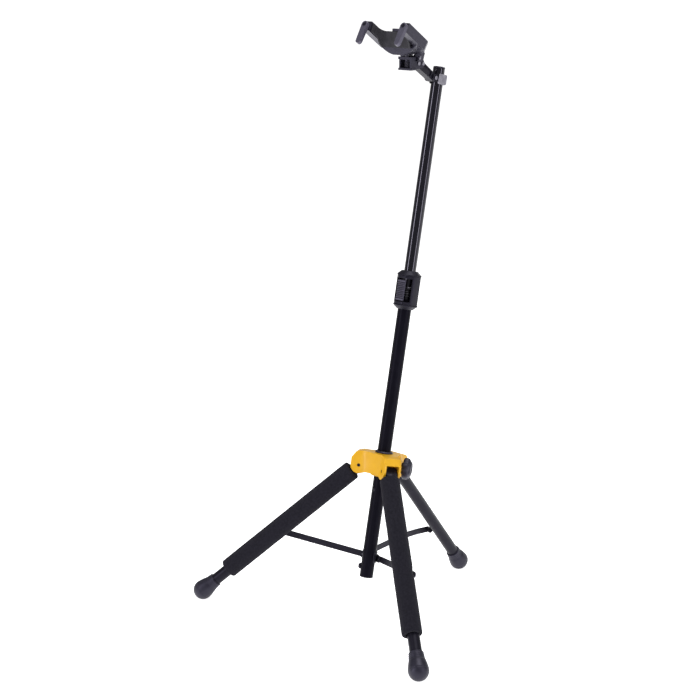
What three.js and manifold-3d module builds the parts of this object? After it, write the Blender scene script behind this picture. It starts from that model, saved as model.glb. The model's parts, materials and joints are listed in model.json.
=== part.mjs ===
// Folding guitar stand: tripod base, leaning two-stage column and hanging neck cradle.
// Millimetres, +Z up. -Y is the front, where the guitar hangs, and +X is the stand's right side.
// The origin is on the ground, midway between the front feet and the rear foot.
import * as THREE from "three";
import { mergeVertices } from "three/addons/utils/BufferGeometryUtils.js";
import Module from "manifold-3d";

const wasm = await Module();
wasm.setup();

const DEG = Math.PI / 180;
const GAP = 0.3;

// Column
const LEAN = 12;
const LOWER_TUBE = { radius: 12.7, bore: 11.5, bottom: 68.5, top: 595 };
const UPPER_TUBE = { radius: 11.1, bore: 9.9, bottom: 440, top: 1020.5 };
const STOP_RIVET_HEIGHT = 236;
const PLUG_SCREW = { height: 87, bearing: 210 };

// Legs: bearings are measured round the column from +X, opening angles from the column
const PIVOT = { radius: 41.5, height: 277 };
const LEG_TUBE = { radius: 11.1, bore: 9.9, start: 16.3 };
const FRONT_OPENING = 42.62;
const REAR_OPENING = 50.96;
const FRONT_LENGTH = 395.2;
const FOOT_RADIUS = 18.5;
const FOOT_HEIGHT = 17.6;
const FOAM = { radius: 18.5, start: 18, end: 329, offset: 2.4 };

// Spreader strips: the inner pivots are on the column, the outer ones along the legs and a little below them
const STRIP = { half_width: 5.75, thickness: 2, hole: 2.8 };
const FRONT_STRIP = { inner_radius: 14, inner_height: 106, along: 210.7, below: 0, face: 16.9, bow: 0 };
const REAR_STRIP = { inner_radius: 24, inner_height: 110, along: 202.61, below: 8, face: 18.9, bow: 5 };
const FRONT_EAR = { start: 13.3, end: 16.5, root: -3 };
const REAR_EAR = { start: 11.4, end: 13.5, root: 7.5 };

// Hub casting
const HUB = { top: 305, bottom: 266, wall: 4, half_clevis: 16, half_slot: 12.2, slot_top: 290.5, web: 30 };
const KNOB = { bearing: 30, height: 282.5, radius: 21.5, start: 36.5, end: 56 };

// Height clutch
const CLUTCH = { bottom: 576, body_start: 585, body_end: 638, top: 647.5, flats: 20.9, cavity: 18.2 };
const GRIP = { half_width: 8, low: 591.5, high: 630.5, back: 16.6, face: 18.8, ribs: 9, rib_height: 22.4 };

// Head: the arm pin's place on the column, then places forward of and above that pin
const ARM_PIN = { forward: 18.5, height: 1001 };
const COLLAR = { bottom: 991.5, top: 1009.5 };
const ARM_RISE = 33.2;
const YOKE_PIN = { forward: 54, up: 39.5, half: 17.6 };
const STEM_FORWARD = 69.5;
const FINGER_PIVOT = { side: 44.5, forward: 134, up: 99.5 };
const FINGER_TILT = 32;
const YOKE_TILT = 35;
const FINGER = { length: 32, root: 6.3, tip: 5.2, thickness: 7 };
const YOKE = { half_width: 50, half_mouth: 36, wall: 96, mouth_corner: 11 };

const LOOKS = {
  gloss_black: { color: 0x17161c, roughness: 0.22, metalness: 0.5 },
  satin_black: { color: 0x23212a, roughness: 0.45, metalness: 0.2 },
  plastic: { color: 0x34323c, roughness: 0.5, metalness: 0 },
  rubber: { color: 0x1c1b20, roughness: 0.8, metalness: 0 },
  foam: { color: 0x1f1e24, roughness: 0.95, metalness: 0 },
  yellow: { color: 0xf3b42d, roughness: 0.38, metalness: 0 },
  steel: { color: 0x8c8a94, roughness: 0.35, metalness: 0.9 },
};

// ---- Solids -------------------------------------------------------------------------------------

// Shared corners, no flat triangles, and faces that point outwards
function welded(geometry) {
  const bare = new THREE.BufferGeometry();
  bare.setAttribute("position", geometry.getAttribute("position").clone());
  if (geometry.index) bare.setIndex(geometry.index.clone());
  const merged = mergeVertices(bare, 1e-4);
  const points = new Float32Array(merged.getAttribute("position").array);
  const index = merged.index.array;
  const corners = [];
  for (let i = 0; i < index.length; i += 3) {
    const [a, b, c] = [index[i], index[i + 1], index[i + 2]];
    if (a !== b && b !== c && c !== a) corners.push(a, b, c);
  }
  if (signedVolume(points, corners) < 0) corners.reverse();
  return { points, corners: new Uint32Array(corners) };
}

function signedVolume(points, corners) {
  const at = (k) => new THREE.Vector3().fromArray(points, 3 * k);
  let sum = 0;
  for (let i = 0; i < corners.length; i += 3) {
    sum += at(corners[i]).dot(at(corners[i + 1]).cross(at(corners[i + 2])));
  }
  return sum / 6;
}

function toSolid(geometry) {
  const { points, corners } = welded(geometry);
  return new wasm.Manifold(new wasm.Mesh({ numProp: 3, vertProperties: points, triVerts: corners }));
}

function toGeometry(solid) {
  const mesh = solid.getMesh();
  const geometry = new THREE.BufferGeometry();
  geometry.setAttribute("position", new THREE.BufferAttribute(new Float32Array(mesh.vertProperties), 3));
  geometry.setIndex(new THREE.BufferAttribute(new Uint32Array(mesh.triVerts), 1));
  return geometry;
}

function join(...geometries) {
  return toGeometry(geometries.map(toSolid).reduce((whole, next) => whole.add(next)));
}

function cut(geometry, ...tools) {
  return toGeometry(tools.map(toSolid).reduce((whole, tool) => whole.subtract(tool), toSolid(geometry)));
}

function common(geometry, other) {
  return toGeometry(toSolid(geometry).intersect(toSolid(other)));
}

// ---- Basic shapes, each along its own +Z --------------------------------------------------------

// A closed outline of [radius, height] pairs turned about +Z
function turned(outline, segments = 28) {
  const points = outline.map(([radius, height]) => new THREE.Vector2(radius, height));
  return new THREE.LatheGeometry(points, segments).rotateX(Math.PI / 2);
}

function rod(radius, low, high, segments = 18) {
  return turned([[0, low], [radius, low], [radius, high], [0, high]], segments);
}

function pipe(radius, bore, low, high, segments = 32) {
  return turned([[bore, low], [radius, low], [radius, high], [bore, high], [bore, low]], segments);
}

function block(x0, x1, y0, y1, z0, z1) {
  const box = new THREE.BoxGeometry(x1 - x0, y1 - y0, z1 - z0);
  return box.translate((x0 + x1) / 2, (y0 + y1) / 2, (z0 + z1) / 2);
}

function outline(points) {
  return new THREE.Shape(points.map(([x, y]) => new THREE.Vector2(x, y)));
}

function slab(shape, low, high, curveSegments = 6) {
  const solid = new THREE.ExtrudeGeometry(shape, { depth: high - low, bevelEnabled: false, curveSegments });
  return solid.translate(0, 0, low);
}

// An outline of [forward, up] points, which become +Z and +Y, spanning x0 to x1
function flank(points, x0, x1) {
  const shape = points instanceof THREE.Shape ? points : outline(points);
  return slab(shape, -x1, -x0).rotateY(-Math.PI / 2);
}

// A rod along +X through a point given as forward and up
function crossRod(radius, x0, x1, forward = 0, up = 0, segments = 14) {
  return rod(radius, x0, x1, segments).rotateY(Math.PI / 2).translate(0, up, forward);
}

// A bar with round ends between two centres on the forward axis
function roundedBar(length, startRadius, endRadius) {
  const shape = new THREE.Shape();
  shape.absarc(length, 0, endRadius, -Math.PI / 2, Math.PI / 2, false);
  shape.absarc(0, 0, startRadius, Math.PI / 2, (3 * Math.PI) / 2, false);
  return shape;
}

function roundedRectangle(x0, x1, y0, y1, radius) {
  const shape = new THREE.Shape();
  shape.absarc(x1 - radius, y0 + radius, radius, -Math.PI / 2, 0, false);
  shape.absarc(x1 - radius, y1 - radius, radius, 0, Math.PI / 2, false);
  shape.absarc(x0 + radius, y1 - radius, radius, Math.PI / 2, Math.PI, false);
  shape.absarc(x0 + radius, y0 + radius, radius, Math.PI, 1.5 * Math.PI, false);
  return shape;
}

// A bolt or rivet along +Z: a shank, then a domed head
function domedFastener(shank, start, seat, head, rise) {
  const profile = [[0, start], [shank, start], [shank, seat], [head, seat], [head, seat + 0.25 * rise]];
  for (const angle of [30, 60]) {
    profile.push([head * Math.cos(angle * DEG), seat + rise * (0.25 + 0.75 * Math.sin(angle * DEG))]);
  }
  profile.push([0, seat + rise]);
  return turned(profile, 14);
}

function coilSpring(radius, wire, low, high, turns) {
  const steps = 9 * turns;
  const points = [];
  for (let i = 0; i <= steps; i += 1) {
    const angle = (2 * Math.PI * turns * i) / steps;
    const height = low + wire + ((high - low - 2 * wire) * i) / steps;
    points.push(new THREE.Vector3(radius * Math.cos(angle), radius * Math.sin(angle), height));
  }
  const section = new THREE.Shape();
  section.absarc(0, 0, wire, 0, 2 * Math.PI, false);
  const extrudePath = new THREE.CatmullRomCurve3(points);
  return new THREE.ExtrudeGeometry(section, { steps, extrudePath, curveSegments: 2, bevelEnabled: false });
}

// ---- Frames -------------------------------------------------------------------------------------

// Local +Z points away from the column at a bearing and rises by an angle, +X points sideways
function radialFrame(bearing, radius = 0, height = 0, rise = 0) {
  const out = new THREE.Vector3(Math.cos(bearing * DEG), Math.sin(bearing * DEG), 0);
  const up = new THREE.Vector3(0, 0, 1);
  const side = up.clone().cross(out);
  const along = out.clone().multiplyScalar(Math.cos(rise * DEG)).addScaledVector(up, Math.sin(rise * DEG));
  const above = out.clone().multiplyScalar(-Math.sin(rise * DEG)).addScaledVector(up, Math.cos(rise * DEG));
  const origin = out.clone().multiplyScalar(radius).addScaledVector(up, height);
  return new THREE.Matrix4().makeBasis(side, above, along).setPosition(origin);
}

function framed(matrix) {
  const group = new THREE.Group();
  group.applyMatrix4(matrix);
  return group;
}

function outwards(geometry, bearing, height) {
  return geometry.applyMatrix4(radialFrame(bearing, 0, height));
}

function add(parent, name, geometry, look) {
  const material = new THREE.MeshStandardMaterial(LOOKS[look]);
  const mesh = new THREE.Mesh(toGeometry(toSolid(geometry).simplify(0.03)), material);
  mesh.name = name;
  parent.add(mesh);
  return mesh;
}

// The place, [distance from the column, height], of a point beside a leg's axis
function besideLeg(opening, along, below = 0) {
  const radius = PIVOT.radius + along * Math.sin(opening * DEG) - below * Math.cos(opening * DEG);
  const height = PIVOT.height - along * Math.cos(opening * DEG) - below * Math.sin(opening * DEG);
  return [radius, height];
}

function levelled(radiusForward, height) {
  return {
    y: radiusForward * Math.cos(LEAN * DEG) + height * Math.sin(LEAN * DEG),
    z: -radiusForward * Math.sin(LEAN * DEG) + height * Math.cos(LEAN * DEG),
  };
}

// The front feet set how high the column sits, and the rear leg is as long as level feet need
const [frontReach, frontDrop] = besideLeg(FRONT_OPENING, FRONT_LENGTH);
const frontFoot = levelled(-0.5 * frontReach, frontDrop);
const columnRise = FOOT_HEIGHT - frontFoot.z;
const pivotLevel = levelled(PIVOT.radius, PIVOT.height).z + columnRise;
const REAR_LENGTH = (pivotLevel - FOOT_HEIGHT) / Math.cos((REAR_OPENING - LEAN) * DEG);
const rearFoot = levelled(...besideLeg(REAR_OPENING, REAR_LENGTH));
const columnShift = -(frontFoot.y + rearFoot.y) / 2;

const front = { opening: FRONT_OPENING, length: FRONT_LENGTH, strip: FRONT_STRIP, ear: FRONT_EAR, padded: true };
const rear = { opening: REAR_OPENING, length: REAR_LENGTH, strip: REAR_STRIP, ear: REAR_EAR, padded: false };
const LEGS = [
  { name: "right", bearing: -30, side: 1, ...front },
  { name: "left", bearing: 210, side: -1, ...front },
  { name: "rear", bearing: 90, side: 1, ...rear },
];

const stand = new THREE.Group();
const column = new THREE.Group();
column.rotation.x = -LEAN * DEG;
column.position.set(0, columnShift, columnRise);
stand.add(column);
stand.updateMatrixWorld(true);

// ---- Hub ----------------------------------------------------------------------------------------

// Side view of one clevis, [distance from the column, height]
function clevisOutline() {
  const nose = 15.5;
  const shape = new THREE.Shape();
  shape.moveTo(0, HUB.bottom);
  shape.lineTo(PIVOT.radius - nose, HUB.bottom);
  shape.absarc(PIVOT.radius, PIVOT.height, nose, -0.62 * Math.PI, 0, false);
  shape.lineTo(PIVOT.radius + nose, HUB.slot_top);
  shape.lineTo(49, HUB.top - 2.5);
  shape.lineTo(40, HUB.top);
  shape.lineTo(0, HUB.top);
  return shape;
}

// Plan of the webs that join the three clevises, its corners on the cheeks
function webPlan(radius, half) {
  const corners = [];
  for (const bearing of [-30, 90, 210]) {
    for (const side of [-half, half]) {
      const out = [Math.cos(bearing * DEG), Math.sin(bearing * DEG)];
      corners.push([out[0] * radius - out[1] * side, out[1] * radius + out[0] * side]);
    }
  }
  return outline(corners);
}

function hubCasting() {
  const boss = rod(19, HUB.bottom - 4, HUB.top, 36);
  const screwBoss = () => outwards(rod(8.5, 16, 34), KNOB.bearing, KNOB.height);
  const topBoss = outwards(rod(5, 20, 33.5), KNOB.bearing, HUB.top - 5.5);
  const clevises = LEGS.map((leg) => flank(clevisOutline(), -HUB.half_clevis, HUB.half_clevis)
    .applyMatrix4(radialFrame(leg.bearing)));
  const webs = slab(webPlan(HUB.web, HUB.half_clevis), HUB.bottom, HUB.top);
  const inner = HUB.half_clevis - HUB.wall;
  const room = slab(webPlan(HUB.web - 1, inner), HUB.bottom - 10, HUB.top - HUB.wall - 0.5);
  const hollow = cut(room, rod(19, HUB.bottom - 11, HUB.top, 36), screwBoss());
  const slots = LEGS.map((leg) => block(-HUB.half_slot, HUB.half_slot, 240, HUB.slot_top, 21.5, 70)
    .applyMatrix4(radialFrame(leg.bearing)));
  const pinHoles = LEGS.map((leg) => crossRod(3.3, -20, 20, PIVOT.radius, PIVOT.height)
    .applyMatrix4(radialFrame(leg.bearing)));
  const bore = rod(14.6, HUB.bottom - 12, HUB.top + 2, 36);
  const screwHole = outwards(rod(4.4, 0, 40), KNOB.bearing, KNOB.height);
  const shoeHole = outwards(rod(5.6, 0, 18), KNOB.bearing, KNOB.height);
  const body = join(boss, screwBoss(), topBoss, webs, ...clevises);
  return cut(body, hollow, ...slots, ...pinHoles, bore, screwHole, shoeHole);
}

function hubBush() {
  const profile = [[13, 262.5], [14.3, 262.5], [14.3, 305.3], [16.8, 305.3], [16.8, 307.4], [15, 309],
    [13, 309], [13, 262.5]];
  return cut(turned(profile), outwards(rod(5.6, 5, 20), KNOB.bearing, KNOB.height));
}

// A clamp knob with round lobes, its back face on z = 0
function knobGrip() {
  const lobes = 6;
  const shape = new THREE.Shape();
  for (let i = 0; i < 48; i += 1) {
    const angle = (2 * Math.PI * i) / 48;
    const radius = KNOB.radius - 2.6 * (0.5 - 0.5 * Math.cos(lobes * angle)) ** 1.5;
    const point = [radius * Math.cos(angle), radius * Math.sin(angle)];
    if (i === 0) shape.moveTo(...point);
    else shape.lineTo(...point);
  }
  const depth = KNOB.end - KNOB.start;
  const rim = slab(shape, 3, depth - 5);
  const crown = turned([[0, 0], [9, 0], [11, 3], [19, 5], [19, depth - 6], [13, depth - 1], [0, depth]], 30);
  return cut(join(rim, crown), rod(4.3, -1, 9));
}

function buildHub() {
  add(column, "hub_casting", hubCasting(), "yellow");
  add(column, "hub_bush", hubBush(), "plastic");
  for (const leg of LEGS) {
    const pin = crossRod(3, -15, 15, PIVOT.radius, PIVOT.height).applyMatrix4(radialFrame(leg.bearing));
    add(column, `leg_pin_${leg.name}`, pin, "steel");
  }
  const shoe = cut(outwards(rod(5.2, 10, 17), KNOB.bearing, KNOB.height), rod(13, 270, 295, 36));
  add(column, "clamp_shoe", shoe, "plastic");
  const clamp = framed(radialFrame(KNOB.bearing, 0, KNOB.height));
  column.add(clamp);
  add(clamp, "knob_screw", rod(4, 17.3, KNOB.start + 8.5), "steel");
  add(clamp, "knob_grip", knobGrip().translate(0, 0, KNOB.start), "plastic");
}

// ---- Legs: local +Z runs down the leg, +Y is its upper side -------------------------------------

function legFitting() {
  const eye = crossRod(9, -10.8, 10.8);
  const tongue = block(-10.8, 10.8, -9, 9, 0, 13);
  const spigot = turned([[0, 11], [11.1, 11], [11.1, 16], [9.6, 16], [9.6, 42], [0, 42]]);
  return cut(join(eye, tongue, spigot), crossRod(3.3, -14, 14));
}

function foamSleeve(leg) {
  const centre = [-leg.side * FOAM.offset, 1];
  const round = 2.5;
  const profile = [[0, FOAM.start], [FOAM.radius - round, FOAM.start], [FOAM.radius, FOAM.start + round],
    [FOAM.radius, FOAM.end - round], [FOAM.radius - round, FOAM.end], [0, FOAM.end]];
  const sleeve = turned(profile).translate(centre[0], centre[1], 0);
  const bore = rod(LEG_TUBE.radius + GAP, FOAM.start - 1, FOAM.end + 1, 40);
  const bossHole = crossRod(4.6, Math.min(0, 30 * leg.side), Math.max(0, 30 * leg.side), leg.strip.along);
  return cut(sleeve, bore, bossHole);
}

// A flared rubber boot with a ball end, cut flat where it stands on the ground
function foot(leg, legFrame) {
  const end = leg.length;
  const profile = [[0, end - 6], [11.4, end - 6], [11.4, end - 33], [13.2, end - 33], [13.7, end - 31],
    [14.1, end - 26], [15.6, end - 18], [17.4, end - 9]];
  for (let angle = -15; angle < 85; angle += 20) {
    profile.push([FOOT_RADIUS * Math.cos(angle * DEG), end + FOOT_RADIUS * Math.sin(angle * DEG)]);
  }
  profile.push([0, end + FOOT_RADIUS]);
  const boot = turned(profile).applyMatrix4(legFrame);
  const level = cut(boot, block(-500, 500, -500, 500, -60, 0));
  return level.applyMatrix4(legFrame.clone().invert());
}

// The post that a strip's outer bolt goes into, on a lug where the bolt sits below the leg's axis
function legBoss(leg) {
  const { face, along, below } = leg.strip;
  const post = mirrored(leg.side, crossRod(4, 11.5, face - 0.4, along, -below));
  if (below === 0) return post;
  const lug = new THREE.Shape();
  lug.absarc(along, -below, 6, Math.PI, 2 * Math.PI, false);
  lug.lineTo(along + 6, 4);
  lug.lineTo(along - 6, 4);
  return join(post, flank(lug, 11.5, 14));
}

function buildLeg(leg) {
  const frame = radialFrame(leg.bearing, PIVOT.radius, PIVOT.height, leg.opening - 90);
  const group = framed(frame);
  column.add(group);
  add(group, `leg_fitting_${leg.name}`, legFitting(), "satin_black");
  add(group, `leg_tube_${leg.name}`, pipe(LEG_TUBE.radius, LEG_TUBE.bore, LEG_TUBE.start, leg.length - 8),
    "satin_black");
  if (leg.padded) add(group, `foam_${leg.name}`, foamSleeve(leg), "foam");
  add(group, `leg_boss_${leg.name}`, legBoss(leg), "satin_black");
  add(group, `foot_${leg.name}`, foot(leg, column.matrixWorld.clone().multiply(frame)), "rubber");
}

// ---- Spreader strips ----------------------------------------------------------------------------

// A flat strip between two pivots, bowed upwards most near its outer end
function stripOutline(length, bow) {
  const steps = bow === 0 ? 1 : 12;
  const half = STRIP.half_width;
  const shape = new THREE.Shape();
  shape.absarc(0, 0, half, Math.PI / 2, (3 * Math.PI) / 2, false);
  const lift = (k) => bow * Math.sin(Math.PI * (k / steps) ** 1.3);
  for (let k = 1; k < steps; k += 1) shape.lineTo((length * k) / steps, lift(k) - half);
  shape.absarc(length, 0, half, -Math.PI / 2, Math.PI / 2, false);
  for (let k = steps - 1; k > 0; k -= 1) shape.lineTo((length * k) / steps, lift(k) + half);
  return shape;
}

function mirrored(side, geometry) {
  return side > 0 ? geometry : geometry.scale(-1, 1, 1);
}

function buildStrip(leg) {
  const { strip } = leg;
  const [outerRadius, outerHeight] = besideLeg(leg.opening, strip.along, strip.below);
  const run = outerRadius - strip.inner_radius;
  const climb = outerHeight - strip.inner_height;
  const length = Math.hypot(run, climb);
  const rise = Math.atan2(climb, run) / DEG;
  const group = framed(radialFrame(leg.bearing, strip.inner_radius, strip.inner_height, rise));
  column.add(group);
  const outer = strip.face + STRIP.thickness;
  const plate = cut(flank(stripOutline(length, strip.bow), strip.face, outer), crossRod(STRIP.hole, 0, 30),
    crossRod(STRIP.hole, 0, 30, length));
  add(group, `strip_${leg.name}`, mirrored(leg.side, plate), "satin_black");
  const bolt = domedFastener(2.4, strip.face + 0.05, outer + GAP, 5, 2.8).rotateY(Math.PI / 2);
  add(group, `strip_bolt_${leg.name}`, mirrored(leg.side, bolt.translate(0, 0, length)), "steel");
  const pin = domedFastener(2.4, leg.ear.start + 0.2, outer + GAP, 4.5, 2.7).rotateY(Math.PI / 2);
  add(group, `saddle_pin_${leg.name}`, mirrored(leg.side, pin), "steel");
}

// Half collar behind the column, with an ear beside each strip's inner end
function stripSaddle() {
  const collar = cut(pipe(14.9, 13, 98, 118), block(-20, 20, -20, -3, 90, 130));
  const ears = LEGS.map((leg) => {
    const { inner_radius: radius, inner_height: height, face } = leg.strip;
    const { start, end, root } = leg.ear;
    const shape = new THREE.Shape();
    shape.absarc(radius, height, 6.5, -Math.PI / 2, Math.PI / 2, false);
    shape.lineTo(root, height + 6.5);
    shape.lineTo(root, height - 6.5);
    const post = crossRod(4.2, start, face - 0.4, radius, height);
    const ear = cut(join(flank(shape, start, end), post), crossRod(2.7, 0, 30, radius, height));
    return mirrored(leg.side, ear).applyMatrix4(radialFrame(leg.bearing));
  });
  return join(collar, ...ears);
}

// ---- Column -------------------------------------------------------------------------------------

function buildColumn() {
  const rivetHole = outwards(rod(2.6, 5, 20), -90, STOP_RIVET_HEIGHT);
  const screwHole = () => outwards(rod(2.6, 5, 20), PLUG_SCREW.bearing, PLUG_SCREW.height);
  const lower = pipe(LOWER_TUBE.radius, LOWER_TUBE.bore, LOWER_TUBE.bottom, LOWER_TUBE.top, 40);
  add(column, "lower_tube", cut(lower, rivetHole, screwHole()), "satin_black");
  const plug = turned([[0, 70], [11.2, 70], [11.2, 104], [6, 104], [6, 76], [0, 76]]);
  add(column, "column_plug", cut(plug, screwHole()), "plastic");
  const plugScrew = domedFastener(2.3, 8.5, 13, 5.5, 5);
  add(column, "plug_screw", outwards(plugScrew, PLUG_SCREW.bearing, PLUG_SCREW.height), "satin_black");
  add(column, "stop_rivet", outwards(domedFastener(2.3, 8.6, 13, 3.2, 1.3), -90, STOP_RIVET_HEIGHT), "steel");
  add(column, "strip_saddle", stripSaddle(), "satin_black");
  add(column, "upper_tube", pipe(UPPER_TUBE.radius, UPPER_TUBE.bore, UPPER_TUBE.bottom, UPPER_TUBE.top, 40),
    "gloss_black");
  const low = UPPER_TUBE.bottom - GAP;
  add(column, "guide_bush", turned([[7.5, low - 6], [11.2, low - 6], [11.2, low], [9.6, low], [9.6, low + 15],
    [7.5, low + 15], [7.5, low - 6]]), "plastic");
  const high = UPPER_TUBE.top + GAP;
  add(column, "top_cap", turned([[0, high - 12], [9.6, high - 12], [9.6, high], [11.1, high],
    [11.1, high + 1.6], [9.6, high + 2.8], [0, high + 3.2]]), "plastic");
}

// ---- Height clutch ------------------------------------------------------------------------------

function octagon(flats) {
  const corners = [];
  const reach = flats / Math.cos(22.5 * DEG);
  for (let k = 0; k < 8; k += 1) {
    const middle = (22.5 + 45 * k) * DEG;
    for (const turn of [-0.07, 0.07]) {
      corners.push([reach * 0.992 * Math.cos(middle + turn), reach * 0.992 * Math.sin(middle + turn)]);
    }
  }
  return outline(corners);
}

function clutchHousing() {
  const barrel = slab(octagon(CLUTCH.flats), CLUTCH.body_start, CLUTCH.body_end);
  const cavity = rod(CLUTCH.cavity, CLUTCH.body_start - 1, CLUTCH.body_end + 1, 40);
  const window = block(-18.4, 18.4, -40, -8, CLUTCH.body_start + 5, CLUTCH.body_end - 5);
  return cut(barrel, cavity, window);
}

function clutchCap(bore, base, tip) {
  const rim = base + Math.sign(tip - base);
  const profile = [[bore, base], [24, base], [24, rim], [15, tip], [bore, tip], [bore, base]];
  return common(turned(profile), slab(octagon(CLUTCH.flats + 0.9), CLUTCH.bottom - 1, CLUTCH.top + 1));
}

// The squeeze grip, seen from the side as [forward, up] points with a comb of ribs
function clutchGrip() {
  const { low, high, back, face, ribs, rib_height: crest } = GRIP;
  const end = crest - 0.6;
  const points = [[back, low], [face, low], [end, low + 1.5], [end, low + 4], [face, low + 4.6]];
  const pitch = (high - low - 10) / ribs;
  for (let k = 0; k < ribs; k += 1) {
    const middle = low + 5 + pitch * (k + 0.5);
    points.push([face, middle - 0.36 * pitch], [crest, middle - 0.16 * pitch], [crest, middle + 0.16 * pitch],
      [face, middle + 0.36 * pitch]);
  }
  points.push([face, high - 4.6], [end, high - 4], [end, high - 1.5], [face, high], [back, high]);
  return flank(points, -GRIP.half_width, GRIP.half_width);
}

function buildClutch() {
  add(column, "clutch_housing", clutchHousing(), "plastic");
  add(column, "clutch_bottom_cap", clutchCap(13, CLUTCH.body_start - GAP, CLUTCH.bottom), "plastic");
  add(column, "clutch_top_cap", clutchCap(11.5, CLUTCH.body_end + GAP, CLUTCH.top), "plastic");
  const jam = CLUTCH.body_start + 31;
  const plate = slab(roundedRectangle(-15, 15, -12.3, 13, 5), jam, jam + 2.4);
  add(column, "clutch_jam_plate", cut(plate, rod(11.5, jam - 6, jam + 6, 36)), "steel");
  add(column, "clutch_spring", coilSpring(13, 0.7, jam - 19, jam - 1, 4), "steel");
  const front = framed(radialFrame(-90));
  column.add(front);
  add(front, "clutch_grip", clutchGrip(), "plastic");
}

// ---- Head ---------------------------------------------------------------------------------------

function headCollar() {
  const ring = cut(pipe(14.2, 11.4, COLLAR.bottom, COLLAR.top), block(12.6, 20, -20, 20, 980, 1020),
    block(-7.9, 7.9, -20, -6, 980, 1020));
  const ear = new THREE.Shape();
  ear.absarc(ARM_PIN.forward, ARM_PIN.height, 7, -Math.PI / 2, Math.PI / 2, false);
  ear.lineTo(8.5, ARM_PIN.height + 7);
  ear.lineTo(8.5, ARM_PIN.height - 7);
  const ears = [-10.9, 7.9].map((x) => flank(ear, x, x + 3).applyMatrix4(radialFrame(-90)));
  const pinHole = crossRod(2.8, -20, 20, ARM_PIN.forward, ARM_PIN.height).applyMatrix4(radialFrame(-90));
  return cut(join(ring, ...ears), rod(11.4, 980, 1020, 40), pinHole);
}

// A pin along +X with a flat head at each end
function headedPin(radius, half, head, headDepth) {
  const profile = [[0, -half], [head, -half], [head, headDepth - half], [radius, headDepth - half],
    [radius, half - headDepth], [head, half - headDepth], [head, half], [0, half]];
  return turned(profile, 12).rotateY(Math.PI / 2);
}

function buildCollar() {
  add(column, "head_collar", headCollar(), "satin_black");
  const side = framed(radialFrame(0));
  column.add(side);
  const plate = roundedRectangle(-15, 8.5, COLLAR.bottom - 0.2, COLLAR.top + 0.2, 3);
  add(side, "collar_plate", slab(plate, 12.9, 14.9, 6), "steel");
}

// Places of holes in the arm, [along the arm, above its middle]
const ARM_RIVETS = { upper: [56.5, -3], lower: [46, 3] };

function yokeArm() {
  const bar = new THREE.Shape();
  bar.absarc(0, 0, 6.9, Math.PI / 2, (3 * Math.PI) / 2, false);
  bar.lineTo(62, -8.2);
  bar.lineTo(62, 8.2);
  const pockets = [-9, 5.2].map((x) => flank(roundedPocket(12, 38, 4.6), x, x + 3.8));
  const rivetHoles = Object.values(ARM_RIVETS).map(([along, above]) => crossRod(2.5, -9, 9, along, above));
  return cut(flank(bar, -7.3, 7.3), crossRod(2.8, -9, 9), ...pockets, ...rivetHoles);
}

function roundedPocket(start, end, half) {
  return roundedRectangle(start, end, -half, half, 2.5);
}

// The fixed box under the yoke, with two cheeks that hold the arm
function baseBracket() {
  const cheek = outline([[31, 27], [36, 20], [64, 18], [64, 40.5], [58, 46], [49, 46], [36, 35]]);
  const cheeks = [-10.2, 7.6].map((x) => flank(cheek, x, x + 2.6));
  const box = block(-14, 14, 17.5, 41, 62.5, 74.5);
  const flange = block(-15.5, 15.5, 36.5, 41, 61.8, 75.5);
  const lip = block(-14.8, 14.8, 17.5, 21, 62.5, 76);
  const window = block(-11, 11, 21.5, 36, 64.4, 80);
  const stemHole = rod(5.2, -45, -30).rotateX(Math.PI / 2).translate(0, 0, STEM_FORWARD);
  const pinHole = crossRod(2.7, -20, 20, YOKE_PIN.forward, YOKE_PIN.up);
  const rivetHoles = Object.values(ARM_RIVETS).map((place) => {
    const [along, above] = place;
    const [sin, cos] = [Math.sin(ARM_RISE * DEG), Math.cos(ARM_RISE * DEG)];
    return crossRod(2.5, -20, 20, along * cos - above * sin, along * sin + above * cos);
  });
  return cut(join(box, flange, lip, ...cheeks), window, stemHole, pinHole, ...rivetHoles);
}

// The mouth that the guitar's neck hangs in, seen from above as [side, forward] points
function mouthPlan(inset) {
  const half = YOKE.half_mouth - inset;
  const wall = YOKE.wall + inset;
  const corner = YOKE.mouth_corner - inset;
  const shape = new THREE.Shape();
  shape.moveTo(half, 160);
  shape.lineTo(-half, 160);
  shape.absarc(-half + corner, wall + corner, corner, Math.PI, 1.5 * Math.PI, false);
  shape.absarc(half - corner, wall + corner, corner, -Math.PI / 2, 0, false);
  return shape;
}

// An upright prism from a plan of [side, forward] points
function prism(shape, low, high) {
  return slab(shape, -high, -low, 6).rotateX(Math.PI / 2);
}

// Turns a solid made in the yoke's own plane, where +Z runs out along its arms and +Y is its upper side
function tilted(geometry) {
  return geometry.rotateX(-YOKE_TILT * DEG).translate(0, 66, 69);
}

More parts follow.
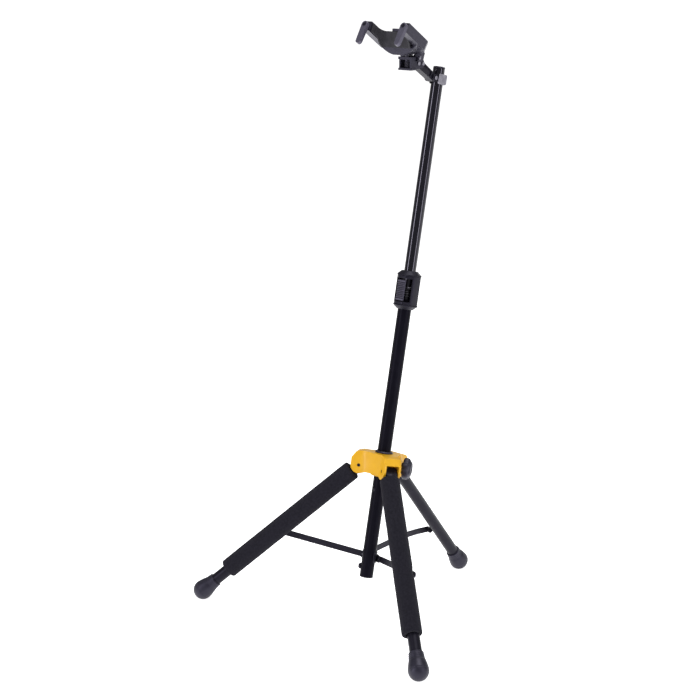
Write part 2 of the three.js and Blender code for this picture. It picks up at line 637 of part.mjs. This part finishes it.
function yokeBody() {
  const arms = flank([[122.6, 103.5], [76.8, 73.7], [44, 51.2], [38.5, 46.5], [43, 34], [50, 32], [60.5, 33],
    [60.5, 45.5], [82, 55.5], [132.9, 88.6]], -YOKE.half_width, YOKE.half_width);
  const smile = outline([[-50, 73], [-44, 64], [-36, 57], [-28, 52], [-20, 48.3], [-10, 45.5], [10, 45.5],
    [20, 48.3], [28, 52], [36, 57], [44, 64], [50, 73]]);
  const aboveArms = flank([[30, 41.6], [90, 82.8], [30, 82.8]], -60, 60);
  const belly = cut(slab(smile, 61, YOKE.wall), aboveArms);
  const ridge = flank([[80, 70], [96, 80], [96, 91], [91, 91], [80, 80]], -12, 12);
  const stem = rod(3.4, -60, -34.5).rotateX(Math.PI / 2).translate(0, 0, STEM_FORWARD);
  const whole = join(arms, belly, ridge, stem);
  const shoulder = [[51, 11], [49, 3], [45, -3], [16, -27], [16, -70], [70, -70], [70, 11]];
  const shoulders = [-1, 1].map((side) => {
    const plan = outline(shoulder.map(([x, forward]) => [x * side, forward]));
    return tilted(prism(plan, -50, 50));
  });
  const bracketRoom = cut(block(-60, 60, 20, 45.5, 61.3, 78),
    rod(3.5, -60, -20).rotateX(Math.PI / 2).translate(0, 0, STEM_FORWARD));
  const armRoom = flank([[30, 10], [30, 38.5], [46, 49], [52, 52], [61.5, 52], [61.5, 10]], -10.7, 10.7);
  const pinHole = crossRod(2.7, -60, 60, YOKE_PIN.forward, YOKE_PIN.up);
  const seat = YOKE_PIN.half - 1.6;
  const pinSeats = [[-60, -seat], [seat, 60]]
    .map(([x0, x1]) => crossRod(5, x0, x1, YOKE_PIN.forward, YOKE_PIN.up));
  const pivotHoles = [-1, 1].map((side) => rod(2.9, -24, 5).applyMatrix4(fingerFrame(side)));
  const behindFinger = -FINGER.thickness - 0.4;
  const fingerFaces = [-1, 1].map((side) => slab(roundedRectangle(-9, 9, -40, 14, 4), behindFinger, 20)
    .applyMatrix4(fingerFrame(side)));
  return cut(whole, prism(mouthPlan(0), 20, 130), ...shoulders, bracketRoom, armRoom, pinHole, ...pinSeats,
    ...pivotHoles, ...fingerFaces);
}

function yokePad() {
  const band = cut(prism(mouthPlan(GAP), 50, 110), prism(mouthPlan(3.3), 40, 120));
  const reach = flank([[121.5, 101.2], [90, 80.8], [90, 58], [101, 58], [112, 76.6], [127, 86.4]], -40, 40);
  return common(band, reach);
}

// At a finger's pivot, local +Z is the pivot axis and +Y points up the finger
function fingerFrame(side) {
  const tilt = new THREE.Matrix4().makeRotationX(-FINGER_TILT * DEG);
  return new THREE.Matrix4()
    .makeTranslation(side * FINGER_PIVOT.side, FINGER_PIVOT.up, FINGER_PIVOT.forward)
    .multiply(tilt);
}

function finger() {
  const shape = roundedBar(FINGER.length, FINGER.root, FINGER.tip);
  const paddle = slab(shape, -FINGER.thickness, 0).rotateZ(-Math.PI / 2);
  return cut(paddle, rod(2.9, -10, 5), rod(4, -1.6, 5));
}

function fingerPin() {
  return turned([[0, -22], [2.6, -22], [2.6, -1.4], [3.6, -1.4], [3.6, -0.5], [0, -0.3]], 12);
}

function buildHead() {
  const pin = new THREE.Vector3(0, -ARM_PIN.forward, ARM_PIN.height).applyMatrix4(column.matrixWorld);
  const head = framed(radialFrame(-90).setPosition(pin));
  stand.add(head);
  add(head, "arm_pin", headedPin(2.5, 12.7, 4, 1.5), "steel");
  const arm = framed(new THREE.Matrix4().makeRotationX(-ARM_RISE * DEG));
  head.add(arm);
  add(arm, "yoke_arm", yokeArm(), "satin_black");
  for (const [name, [along, above]] of Object.entries(ARM_RIVETS)) {
    add(arm, `arm_rivet_${name}`, headedPin(2.2, 12, 3.4, 1.5).translate(0, above, along), "steel");
  }
  add(head, "base_bracket", baseBracket(), "plastic");
  const spring = coilSpring(4.1, 0.5, -32.6, -22, 4).rotateX(Math.PI / 2);
  add(head, "yoke_spring", spring.translate(0, 0, STEM_FORWARD), "steel");
  const yokePin = headedPin(2.4, YOKE_PIN.half, 3.6, 1.2);
  add(head, "yoke_pin", yokePin.translate(0, YOKE_PIN.up, YOKE_PIN.forward), "steel");
  add(head, "yoke_body", yokeBody(), "plastic");
  add(head, "yoke_pad", yokePad(), "rubber");
  for (const [name, side] of [["left", -1], ["right", 1]]) {
    const pivot = framed(fingerFrame(side));
    head.add(pivot);
    add(pivot, `finger_${name}`, finger(), "plastic");
    add(pivot, `finger_pin_${name}`, fingerPin(), "steel");
  }
}

buildHub();
LEGS.forEach(buildLeg);
LEGS.forEach(buildStrip);
buildColumn();
buildClutch();
buildCollar();
buildHead();
stand.updateMatrixWorld(true);

export default stand;
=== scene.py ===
import json
import math

import bmesh
import bpy
import numpy as np
from mathutils import Matrix, Vector, noise


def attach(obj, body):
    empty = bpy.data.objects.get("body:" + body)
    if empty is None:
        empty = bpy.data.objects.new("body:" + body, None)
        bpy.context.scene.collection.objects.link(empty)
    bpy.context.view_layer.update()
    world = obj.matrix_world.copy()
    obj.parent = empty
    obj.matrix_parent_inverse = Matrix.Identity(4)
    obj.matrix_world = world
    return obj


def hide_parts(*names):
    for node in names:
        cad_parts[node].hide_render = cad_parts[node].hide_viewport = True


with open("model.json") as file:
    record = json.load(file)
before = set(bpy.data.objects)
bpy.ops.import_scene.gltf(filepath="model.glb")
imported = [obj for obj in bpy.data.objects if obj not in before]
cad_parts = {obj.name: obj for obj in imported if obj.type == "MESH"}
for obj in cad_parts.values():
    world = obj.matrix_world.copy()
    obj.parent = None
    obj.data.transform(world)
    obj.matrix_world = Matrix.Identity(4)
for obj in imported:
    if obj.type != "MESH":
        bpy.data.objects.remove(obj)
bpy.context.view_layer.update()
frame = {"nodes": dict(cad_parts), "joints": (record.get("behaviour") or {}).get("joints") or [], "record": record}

MM = 0.001
SIDES = ("right", "left", "rear")

# Camera, in metres
CAMERA_PLACE = (1.9044, -2.2197, 1.2320)
CAMERA_TARGET = (-0.0155, -0.0845, 0.5070)
CAMERA_LENS = 84.4

# Studio, in metres
STUDIO_MIDDLE = (0.0, 0.0, 0.5)
FLOOR_HALF = 60.0
FLOOR_DROP = 0.0004
FLOOR_GLOW = 0.85
WORLD_LIGHT = 0.3

# Colours of light
WHITE = (1.0, 1.0, 1.0)
COOL_LIGHT = (0.92, 0.90, 1.0)
COOL = (0.82, 0.79, 1.0)

# Foam sleeves, in millimetres and counts
TUBE_RADIUS = 11.1
FOAM_ROUNDING = 3.0
FOAM_UNEVENNESS = 0.35
FOAM_BORE_GAP = 0.3
FOAM_MOUTH_GAP = 1.2
FOAM_RINGS = 110
FOAM_SEGMENTS = 80
DENT_DEPTH = 1.6
DENT_REACH = 6.0

# Boots, in millimetres and a count
FOOT_RADIUS = 18.5
FOOT_HEIGHT = 17.6
BOOT_SEGMENTS = 96

# Knob: counts, and a lobe's depth as a share of the radius
KNOB_LOBES = 6
LOBE_DEPTH = 0.135
KNOB_SEGMENTS = 144

# Cradle lining: a grid in millimetres and a count of smoothing steps
LINING_GRID = 0.6
LINING_SMOOTHING = 6

# Carried-over nodes: a reach in metres, two angles and an edge radius in millimetres
WELD_REACH = 2e-5
FLAT = math.radians(1)
SHARP = math.radians(35)
FINE_EDGE = 0.3


# ---- Node materials -----------------------------------------------------------------------------


def plain(name, specular=0.5, tint=WHITE, metallic=0.0):
    """A material whose shader has its constant values set on its own sockets."""
    material = bpy.data.materials.new(name)
    material.use_nodes = True
    surface = material.node_tree.nodes["Principled BSDF"]
    surface.inputs["Metallic"].default_value = metallic
    surface.inputs["Specular IOR Level"].default_value = specular
    surface.inputs["Specular Tint"].default_value = (*tint, 1.0)
    return material, surface


def grain(material, scale, detail=3.0, stretch=(1.0, 1.0, 1.0)):
    """Noise over the object's own coordinates, in metres."""
    tree = material.node_tree
    where = tree.nodes.new("ShaderNodeTexCoord")
    turn = tree.nodes.new("ShaderNodeMapping")
    turn.inputs["Scale"].default_value = stretch
    speckle = tree.nodes.new("ShaderNodeTexNoise")
    speckle.inputs["Scale"].default_value = scale
    speckle.inputs["Detail"].default_value = detail
    tree.links.new(where.outputs["Object"], turn.inputs["Vector"])
    tree.links.new(turn.outputs["Vector"], speckle.inputs["Vector"])
    return speckle.outputs["Fac"]


def cells(material, scale):
    """Distance to the nearest cell's middle, for foam and cast grain."""
    tree = material.node_tree
    where = tree.nodes.new("ShaderNodeTexCoord")
    pores = tree.nodes.new("ShaderNodeTexVoronoi")
    pores.inputs["Scale"].default_value = scale
    tree.links.new(where.outputs["Object"], pores.inputs["Vector"])
    return pores.outputs["Distance"]


def spread(material, source, low, high, start=0.3, end=0.7):
    """Source between start and end becomes a value between low and high."""
    tree = material.node_tree
    remap = tree.nodes.new("ShaderNodeMapRange")
    remap.inputs["From Min"].default_value = start
    remap.inputs["From Max"].default_value = end
    remap.inputs["To Min"].default_value = low
    remap.inputs["To Max"].default_value = high
    tree.links.new(source, remap.inputs["Value"])
    return remap.outputs["Result"]


def tinted(material, surface, source, dark, light, start=0.3, end=0.7):
    """Base colour between dark and light by a source."""
    tree = material.node_tree
    ramp = tree.nodes.new("ShaderNodeValToRGB")
    ramp.color_ramp.elements[0].position = start
    ramp.color_ramp.elements[0].color = (*dark, 1.0)
    ramp.color_ramp.elements[1].position = end
    ramp.color_ramp.elements[1].color = (*light, 1.0)
    tree.links.new(source, ramp.inputs["Fac"])
    tree.links.new(ramp.outputs["Color"], surface.inputs["Base Color"])


def roughened(material, surface, source, low, high):
    """Roughness between low and high by a source."""
    material.node_tree.links.new(spread(material, source, low, high), surface.inputs["Roughness"])


def raised(material, surface, *layers):
    """Relief from (source, strength, depth in metres) layers."""
    tree = material.node_tree
    below = None
    for source, strength, depth in layers:
        bump = tree.nodes.new("ShaderNodeBump")
        bump.inputs["Strength"].default_value = strength
        bump.inputs["Distance"].default_value = depth
        tree.links.new(source, bump.inputs["Height"])
        if below is not None:
            tree.links.new(below, bump.inputs["Normal"])
        below = bump.outputs["Normal"]
    tree.links.new(below, surface.inputs["Normal"])


def yellow_paint():
    material, surface = plain("yellow_paint", 0.3)
    surface.inputs["Coat Weight"].default_value = 0.1
    surface.inputs["Coat Roughness"].default_value = 0.15
    tinted(material, surface, grain(material, 28), (0.61, 0.32, 0.003), (0.69, 0.37, 0.007))
    roughened(material, surface, grain(material, 60), 0.34, 0.5)
    raised(material, surface,
           (grain(material, 900, 4), 0.12, 0.0002),
           (grain(material, 90), 0.1, 0.0006))
    return material


def satin_coat(name, dark, light, specular):
    material, surface = plain(name, specular, COOL)
    tinted(material, surface, grain(material, 45, 5), dark, light)
    roughened(material, surface, grain(material, 18, 6), 0.3, 0.44)
    raised(material, surface,
           (grain(material, 1400, 3), 0.18, 0.00015),
           (grain(material, 160), 0.06, 0.0004))
    return material


def gloss_coat():
    material, surface = plain("gloss_coat", 0.5, COOL_LIGHT)
    tinted(material, surface, grain(material, 30), (0.0024, 0.0021, 0.0044), (0.0038, 0.0033, 0.0062))
    roughened(material, surface, grain(material, 25, 6), 0.04, 0.09)
    raised(material, surface, (grain(material, 120, 2), 0.03, 0.0001))
    return material


def black_steel():
    material, surface = plain("black_steel", 0.22, COOL)
    tinted(material, surface, grain(material, 80, 6), (0.0056, 0.0052, 0.0082), (0.0098, 0.0092, 0.0136))
    roughened(material, surface, grain(material, 40, 6), 0.34, 0.52)
    raised(material, surface, (grain(material, 1100, 3), 0.15, 0.0002))
    return material


def bare_steel():
    material, surface = plain("bare_steel", metallic=0.95)
    tinted(material, surface, grain(material, 120, 6), (0.20, 0.195, 0.23), (0.33, 0.32, 0.36))
    roughened(material, surface, grain(material, 300, 5, (1, 1, 0.1)), 0.26, 0.45)
    raised(material, surface, (grain(material, 900, 4, (1, 1, 0.15)), 0.1, 0.0002))
    return material


def moulded_plastic(name, dark, light, specular):
    material, surface = plain(name, specular, COOL)
    tinted(material, surface, grain(material, 60, 4), dark, light)
    roughened(material, surface, grain(material, 70, 5), 0.34, 0.48)
    raised(material, surface,
           (cells(material, 1500), 0.22, 0.00022),
           (grain(material, 2200, 2), 0.15, 0.00015))
    return material


def boot_rubber():
    material, surface = plain("boot_rubber", 0.35, COOL)
    tinted(material, surface, grain(material, 50, 6), (0.0095, 0.0088, 0.0145), (0.0145, 0.0136, 0.0212))
    roughened(material, surface, grain(material, 35, 6), 0.36, 0.52)
    raised(material, surface,
           (grain(material, 1200, 4), 0.2, 0.0002),
           (grain(material, 120), 0.08, 0.0005))
    return material


def filled_nylon(name, dark, light):
    material, surface = plain(name, 0.6, COOL)
    tinted(material, surface, grain(material, 55, 4), dark, light)
    roughened(material, surface, grain(material, 60, 5), 0.26, 0.38)
    raised(material, surface,
           (cells(material, 1500), 0.2, 0.0002),
           (grain(material, 2200, 2), 0.15, 0.00015))
    return material


# Steel with a darker base than bare_steel: painted shade on the jam plate and springs, standing in for the dark
# inside the clutch window's recess; its roughness is the steel's own
def shaded_steel():
    material, surface = plain("shaded_steel", metallic=0.9)
    tinted(material, surface, grain(material, 150, 5), (0.07, 0.068, 0.08), (0.115, 0.112, 0.125))
    roughened(material, surface, grain(material, 200, 5), 0.32, 0.5)
    return material


def lining_rubber():
    material, surface = plain("lining_rubber", 0.35)
    tinted(material, surface, grain(material, 70, 6), (0.012, 0.0115, 0.014), (0.021, 0.020, 0.025))
    roughened(material, surface, grain(material, 90, 5), 0.6, 0.8)
    raised(material, surface, (cells(material, 1100), 0.25, 0.00025))
    return material


def cell_foam():
    material, surface = plain("cell_foam", 0.1)
    surface.inputs["Roughness"].default_value = 0.95
    surface.inputs["Sheen Weight"].default_value = 0.02
    surface.inputs["Sheen Roughness"].default_value = 0.6
    tinted(material, surface, grain(material, 260, 6), (0.0085, 0.0080, 0.0120), (0.0142, 0.0134, 0.0192))
    raised(material, surface,
           (cells(material, 620), 0.5, 0.0006),
           (grain(material, 1500, 3), 0.4, 0.0004),
           (grain(material, 45, 3), 0.15, 0.0015))
    return material


MATERIALS = {
    "cast_yellow": yellow_paint(),
    # The leg tubes' copy of the satin coat has a lighter base than the column's: a painted highlight for the light
    # the legs catch
    "tube_satin": satin_coat("satin_coat", (0.0046, 0.0042, 0.0072), (0.0074, 0.0068, 0.0108), 0.16),
    "tube_gloss": gloss_coat(),
    "black_steel": black_steel(),
    "bare_steel": bare_steel(),
    "black_plastic": moulded_plastic(
        "moulded_plastic", (0.0128, 0.0120, 0.0188), (0.0176, 0.0165, 0.0250), 0.35
    ),
    "soft_rubber": boot_rubber(),
    "foam": cell_foam(),
}
LINING = lining_rubber()
CRADLE_NYLON = filled_nylon("cradle_nylon", (0.0135, 0.0127, 0.0190), (0.0185, 0.0174, 0.0255))
# A lighter copy of the cradle nylon: painted light on the front-facing fingers and painted highlights on the
# grip's ribs
PAINTED_LIGHT_NYLON = filled_nylon("painted_light_nylon", (0.050, 0.047, 0.064), (0.062, 0.058, 0.079))
# A darker copy of the same satin coat for the column; the legs' lighter copy carries their painted highlight
COLUMN_COAT = satin_coat("column_coat", (0.0030, 0.0027, 0.0050), (0.0050, 0.0045, 0.0078), 0.05)
CLUTCH_PLASTIC = moulded_plastic("clutch_plastic", (0.0050, 0.0046, 0.0078), (0.0076, 0.0071, 0.0114), 0.22)
SHADED_STEEL = shaded_steel()

# Nodes whose finish isn't their slot's usual one
FINISHES = {
    "clutch_housing": CLUTCH_PLASTIC,
    "clutch_top_cap": CLUTCH_PLASTIC,
    "clutch_bottom_cap": CLUTCH_PLASTIC,
    # Painted highlight: the grip's ribs take the lighter nylon copy in place of their glints
    "clutch_grip": PAINTED_LIGHT_NYLON,
    "lower_tube": COLUMN_COAT,
    "yoke_body": CRADLE_NYLON,
    # Painted light: the fingers take the lighter nylon copy for their front-lit tone
    "finger_left": PAINTED_LIGHT_NYLON,
    "finger_right": PAINTED_LIGHT_NYLON,
    # Painted shade: the jam plate and springs take the darker steel
    "clutch_jam_plate": SHADED_STEEL,
    "clutch_spring": SHADED_STEEL,
    "yoke_spring": SHADED_STEEL,
}


# ---- Mesh helpers -------------------------------------------------------------------------------


def new_piece(name, mesh, body, material):
    """A smooth-shaded piece that rides on a body and takes a slot's finish."""
    piece = bpy.data.objects.new(name, mesh)
    bpy.context.scene.collection.objects.link(piece)
    mesh.materials.append(material)
    mesh.polygons.foreach_set("use_smooth", [True] * len(mesh.polygons))
    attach(piece, body)
    return piece


def ring(work, radius, height, segments, shape=None):
    """Points of one circle about +Z. Shape scales the radius at each angle."""
    points = []
    for k in range(segments):
        angle = 2 * math.pi * k / segments
        reach = radius * (shape(angle, height) if shape else 1.0)
        points.append(work.verts.new((reach * math.cos(angle), reach * math.sin(angle), height)))
    return points


def bridge(work, low, high):
    """Faces between two rings of points."""
    for k in range(len(low)):
        work.faces.new((low[k - 1], low[k], high[k], high[k - 1]))


def outward_mesh(name, work):
    """The finished mesh, with its faces turned outwards."""
    mesh = bpy.data.meshes.new(name)
    bmesh.ops.recalc_face_normals(work, faces=work.faces)
    work.to_mesh(mesh)
    work.free()
    return mesh


def turned(name, outline, segments, shape=None):
    """A closed mesh from an outline of [radius, height] about +Z, capped at both ends."""
    work = bmesh.new()
    rings = [ring(work, radius, height, segments, shape) for radius, height in outline]
    for low, high in zip(rings, rings[1:]):
        bridge(work, low, high)
    for edge in (rings[0], rings[-1]):
        middle = work.verts.new((0, 0, edge[0].co.z))
        for k in range(segments):
            work.faces.new((middle, edge[k - 1], edge[k]))
    return outward_mesh(name, work)


def sleeve(name, outline, bore, segments):
    """A closed tube mesh: an outline of [radius, height] outside, and a bore's radius inside."""
    work = bmesh.new()
    low, high = outline[0][1], outline[-1][1]
    inside = [(bore, high - (high - low) * k / 8) for k in range(9)]
    rings = [ring(work, radius, height, segments) for radius, height in outline + inside]
    for i, first in enumerate(rings):
        bridge(work, first, rings[(i + 1) % len(rings)])
    return outward_mesh(name, work)


def coordinates(mesh):
    return np.array([v.co for v in mesh.vertices], float).reshape(-1, 3)


def reshape(mesh, points):
    mesh.vertices.foreach_set("co", np.asarray(points, np.float32).ravel())
    mesh.update()


def joint(name):
    return next(entry for entry in frame["joints"] if entry["name"] == name)


def leg_frame(side):
    """At a leg's pivot, +Z runs down the leg and +X lies along its hinge pin."""
    tube = coordinates(frame["nodes"][f"leg_tube_{side}"].data)
    pivot = Vector(joint(f"leg_{side}_fold")["pos_m"])
    along = np.linalg.svd(tube - tube.mean(0), full_matrices=False)[2][0]
    down = Vector(along) if along[2] < 0 else -Vector(along)
    across = Vector(joint(f"leg_{side}_fold")["axis"]).normalized()
    above = down.cross(across)
    return Matrix.Translation(pivot) @ Matrix((across, above, down)).transposed().to_4x4()


def within(node, matrix):
    """Lowest and highest coordinates of a CAD node in a frame of its own."""
    points = coordinates(frame["nodes"][node].data)
    local = np.array([matrix.inverted() @ Vector(p) for p in points])
    return local.min(0), local.max(0)


# ---- Pieces with a surface of their own ---------------------------------------------------------


def foam_outline(low, high, radius):
    """A foam sleeve's outside from end to end, with rounded rims."""
    corner = FOAM_ROUNDING * MM
    mouth = TUBE_RADIUS * MM + FOAM_MOUTH_GAP * MM
    outline = [(mouth, low)]
    for k in range(7):
        angle = math.pi / 2 * k / 6
        outline.append((radius - corner * (1 - math.sin(angle)), low + corner * (1 - math.cos(angle))))
    for k in range(1, FOAM_RINGS):
        outline.append((radius, low + corner + (high - low - 2 * corner) * k / FOAM_RINGS))
    for k in range(7):
        angle = math.pi / 2 * k / 6
        outline.append((radius - corner * (1 - math.cos(angle)), high - corner * (1 - math.sin(angle))))
    outline.append((mouth, high))
    return outline


def foam_change(point, gap):
    """How far the skin stands in or out at a point, with the dent of a post that is a gap away."""
    swell = noise.noise(Vector(point) * 55) * 0.6 + noise.noise(Vector(point) * 210) * 0.4
    dent = DENT_DEPTH * MM * math.exp(-((max(gap, 0) / (DENT_REACH * MM)) ** 2))
    return (swell - 0.6) * FOAM_UNEVENNESS * MM - dent


def foam_piece(side):
    """A foam sleeve: soft ends, a slightly uneven skin and a dimple where the strip's post comes through."""
    matrix = leg_frame(side)
    low, high = within(f"foam_{side}", matrix)
    post_low, post_high = within(f"leg_boss_{side}", matrix)
    post = (post_low + post_high) / 2
    radius = (high[1] - low[1]) / 2
    centre = ((low[0] + high[0]) / 2, (low[1] + high[1]) / 2)
    bore = TUBE_RADIUS * MM + FOAM_BORE_GAP * MM
    mesh = sleeve(f"foam_sleeve_{side}", foam_outline(low[2], high[2], radius), bore, FOAM_SEGMENTS)
    points = coordinates(mesh)
    reach = np.hypot(points[:, 0], points[:, 1])
    for i, point in enumerate(points):
        if reach[i] < radius * 0.8:
            continue
        place = (point[0] + centre[0], point[1] + centre[1], point[2])
        gap = math.dist(place, tuple(post)) - radius * 0.35
        points[i, :2] *= (reach[i] + foam_change(point, gap)) / reach[i]
    points[:, 0] += centre[0]
    points[:, 1] += centre[1]
    reshape(mesh, points)
    mesh.transform(matrix)
    piece = new_piece(mesh.name, mesh, f"leg_{side}", MATERIALS["foam"])
    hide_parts(f"foam_{side}")


def boot_outline(end):
    """A boot from its mouth to its ball end, with a bead, three grips and a parting ring."""
    outline = [(11.4, -33.0), (12.7, -33.0), (13.3, -32.4), (13.5, -31.4), (13.3, -30.5), (13.3, -29.8)]
    for k in range(3):
        base = -28.4 + 3.2 * k
        outline += [(13.5 + 0.3 * k, base), (13.9 + 0.3 * k, base + 0.6)]
        outline += [(13.9 + 0.3 * k, base + 1.5), (13.5 + 0.3 * k, base + 2.1)]
    outline += [(14.9, -19.0), (15.8, -15.6), (16.7, -12.0), (17.5, -8.4), (18.0, -5.6), (18.35, -3.2)]
    outline += [(18.5, -1.6), (18.5, -0.5), (18.15, -0.35), (18.15, 0.35), (18.5, 0.5)]
    for k in range(1, 18):
        angle = math.radians(5 * k)
        outline.append((FOOT_RADIUS * math.cos(angle), FOOT_RADIUS * math.sin(angle)))
    return [(radius * MM, (end + height) * MM) for radius, height in outline]


def boot_piece(side):
    """A rubber boot, worn flat where it stands."""
    matrix = leg_frame(side)
    down = matrix.to_3x3() @ Vector((0, 0, 1))
    end = (matrix.translation.z - FOOT_HEIGHT * MM) / -down.z / MM
    mesh = turned(f"boot_{side}", boot_outline(end), BOOT_SEGMENTS)
    mesh.transform(matrix)
    points = coordinates(mesh)
    points[:, 2] = np.maximum(points[:, 2], 0.0)
    reshape(mesh, points)
    piece = new_piece(mesh.name, mesh, f"leg_{side}", MATERIALS["soft_rubber"])
    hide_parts(f"foot_{side}")


def knob_outline(back, front, outer):
    """The knob from its back to its face: a collar, a rolled rim and a dished face."""
    outline = [(6.5, back), (9.5, back), (10.6, back + 0.8), (11.4, back + 2.6), (16, back + 3.3)]
    outline += [(outer - 2.4, back + 3.6), (outer - 0.8, back + 4.4), (outer - 0.1, back + 5.8)]
    outline += [(outer, back + 8), (outer, back + 11), (outer - 0.2, front - 7.2), (outer - 1.2, front - 5.2)]
    outline += [(outer - 3, front - 3.7), (outer - 5.6, front - 2.7), (14.6, front - 2.2), (13.4, front - 1.2)]
    outline += [(12.2, front - 0.3), (10.8, front), (9.8, front - 0.5), (9.2, front - 1.4), (4, front - 1.6)]
    return [(radius * MM, height * MM) for radius, height in outline]


def knob_piece():
    """The clamp knob, with six finger lobes."""
    entry = joint("knob_turn")
    axis = Vector(entry["axis"]).normalized()
    matrix = Matrix.Translation(entry["pos_m"]) @ axis.to_track_quat("Z", "X").to_matrix().to_4x4()
    low, high = within("knob_grip", matrix)
    back, front = low[2] / MM, high[2] / MM

    def lobes(angle, height):
        depth = LOBE_DEPTH if back + 3 < height / MM < front - 2.4 else 0.0
        return 1 - depth * (0.5 - 0.5 * math.cos(KNOB_LOBES * angle)) ** 1.6

    mesh = turned("clamp_knob", knob_outline(back, front, high[0] / MM), KNOB_SEGMENTS, lobes)
    mesh.transform(matrix)
    piece = new_piece(mesh.name, mesh, "knob", MATERIALS["black_plastic"])
    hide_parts("knob_grip")


def lining_piece():
    """The cradle's soft lining, with rolled edges."""
    mesh = frame["nodes"]["yoke_pad"].data.copy()
    mesh.name = "cradle_lining"
    mesh.materials.clear()
    work = bmesh.new()
    work.from_mesh(mesh)
    bmesh.ops.remove_doubles(work, verts=work.verts, dist=1e-5)
    work.to_mesh(mesh)
    work.free()
    piece = new_piece(mesh.name, mesh, "yoke", LINING)
    remesh = piece.modifiers.new("remesh", "REMESH")
    remesh.mode = "VOXEL"
    remesh.voxel_size = LINING_GRID * MM
    remesh.use_smooth_shade = True
    relax = piece.modifiers.new("relax", "SMOOTH")
    relax.factor = 0.5
    relax.iterations = LINING_SMOOTHING
    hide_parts("yoke_pad")


# ---- Carried-over nodes -------------------------------------------------------------------------

# Edge radii in millimetres, where they aren't FINE_EDGE
EDGE_ROUNDING = {
    "hub_casting": 1.0,
    "yoke_body": 0.5,
    "base_bracket": 0.6,
    "clutch_housing": 0.9,
    "clutch_top_cap": 0.7,
    "clutch_bottom_cap": 0.7,
    "clutch_grip": 0.35,
    "finger_left": 1.4,
    "finger_right": 1.4,
    "yoke_arm": 0.7,
    "collar_plate": 0.4,
    "head_collar": 0.5,
    "hub_bush": 0.5,
}


def dress(node, slot):
    """Gives a CAD node its material, rounded edges and smooth shading, by modifiers alone."""
    mesh = node.data
    mesh.materials.clear()
    mesh.materials.append(FINISHES.get(node.name, MATERIALS[slot]))
    mesh.polygons.foreach_set("use_smooth", [True] * len(mesh.polygons))
    if "custom_normal" in mesh.attributes:
        mesh.attributes.remove(mesh.attributes["custom_normal"])
    weld = node.modifiers.new("weld", "WELD")
    weld.merge_threshold = WELD_REACH
    flat = node.modifiers.new("flat", "DECIMATE")
    flat.decimate_type = "DISSOLVE"
    flat.angle_limit = FLAT
    edges = node.modifiers.new("edges", "BEVEL")
    edges.width = EDGE_ROUNDING.get(node.name, FINE_EDGE) * MM
    edges.segments = 3 if edges.width > 0.5 * MM else 2
    edges.limit_method = "ANGLE"
    edges.angle_limit = SHARP
    edges.use_clamp_overlap = True
    edges.miter_outer = "MITER_ARC"
    even = node.modifiers.new("even", "WEIGHTED_NORMAL")
    even.keep_sharp = True


def dress_frame():
    slots = {entry["node"]: entry["material_slot"] for entry in frame["record"]["subparts"]}
    for name, node in frame["nodes"].items():
        dress(node, slots[name])


# ---- Studio -------------------------------------------------------------------------------------


def aim(thing, target):
    thing.rotation_mode = "QUATERNION"
    thing.rotation_quaternion = (Vector(target) - thing.location).to_track_quat("-Z", "Y")


def make_camera():
    camera = bpy.data.objects.new("camera", bpy.data.cameras.new("camera"))
    camera.location = CAMERA_PLACE
    camera.data.lens = CAMERA_LENS
    camera.data.sensor_width = 36.0
    camera.data.clip_start = 0.05
    camera.data.clip_end = 200.0
    aim(camera, CAMERA_TARGET)
    bpy.context.scene.collection.objects.link(camera)
    bpy.context.scene.camera = camera


def softbox(name, place, size, power, colour=WHITE):
    light = bpy.data.lights.new(name, "AREA")
    light.shape = "RECTANGLE"
    light.size, light.size_y = size
    light.energy = power
    light.color = colour
    box = bpy.data.objects.new(name, light)
    box.location = place
    aim(box, STUDIO_MIDDLE)
    bpy.context.scene.collection.objects.link(box)


def make_lights():
    softbox("overhead", (0.5, 0.2, 3.6), (2.0, 2.0), 85)
    softbox("left_strip", (-0.85, -2.9, 1.2), (0.45, 2.4), 44, COOL_LIGHT)
    softbox("right_strip", (3.0, 0.15, 1.2), (0.4, 2.4), 30, COOL_LIGHT)
    softbox("back_strip", (-0.9, 3.0, 1.4), (0.5, 2.2), 14)
    world = bpy.data.worlds.new("studio")
    world.use_nodes = True
    backdrop = world.node_tree.nodes["Background"]
    backdrop.inputs["Color"].default_value = (*WHITE, 1.0)
    backdrop.inputs["Strength"].default_value = WORLD_LIGHT
    bpy.context.scene.world = world


def make_floor():
    corners = [(x * FLOOR_HALF, y * FLOOR_HALF, 0) for x, y in ((-1, -1), (1, -1), (1, 1), (-1, 1))]
    mesh = bpy.data.meshes.new("floor")
    mesh.from_pydata(corners, [], [(0, 1, 2, 3)])
    floor = bpy.data.objects.new("floor", mesh)
    floor.location.z = -FLOOR_DROP
    material, surface = plain("floor_paper", 0.05)
    surface.inputs["Roughness"].default_value = 0.95
    tinted(material, surface, grain(material, 3, 2), (0.92, 0.92, 0.925), (0.94, 0.94, 0.945))
    surface.inputs["Emission Color"].default_value = (*WHITE, 1.0)
    surface.inputs["Emission Strength"].default_value = FLOOR_GLOW
    mesh.materials.append(material)
    bpy.context.scene.collection.objects.link(floor)


bpy.context.scene.view_settings.view_transform = "Standard"
make_camera()
make_lights()
make_floor()
dress_frame()
for side in SIDES:
    boot_piece(side)
for side in ("right", "left"):
    foam_piece(side)
knob_piece()
lining_piece()

bpy.context.view_layer.update()
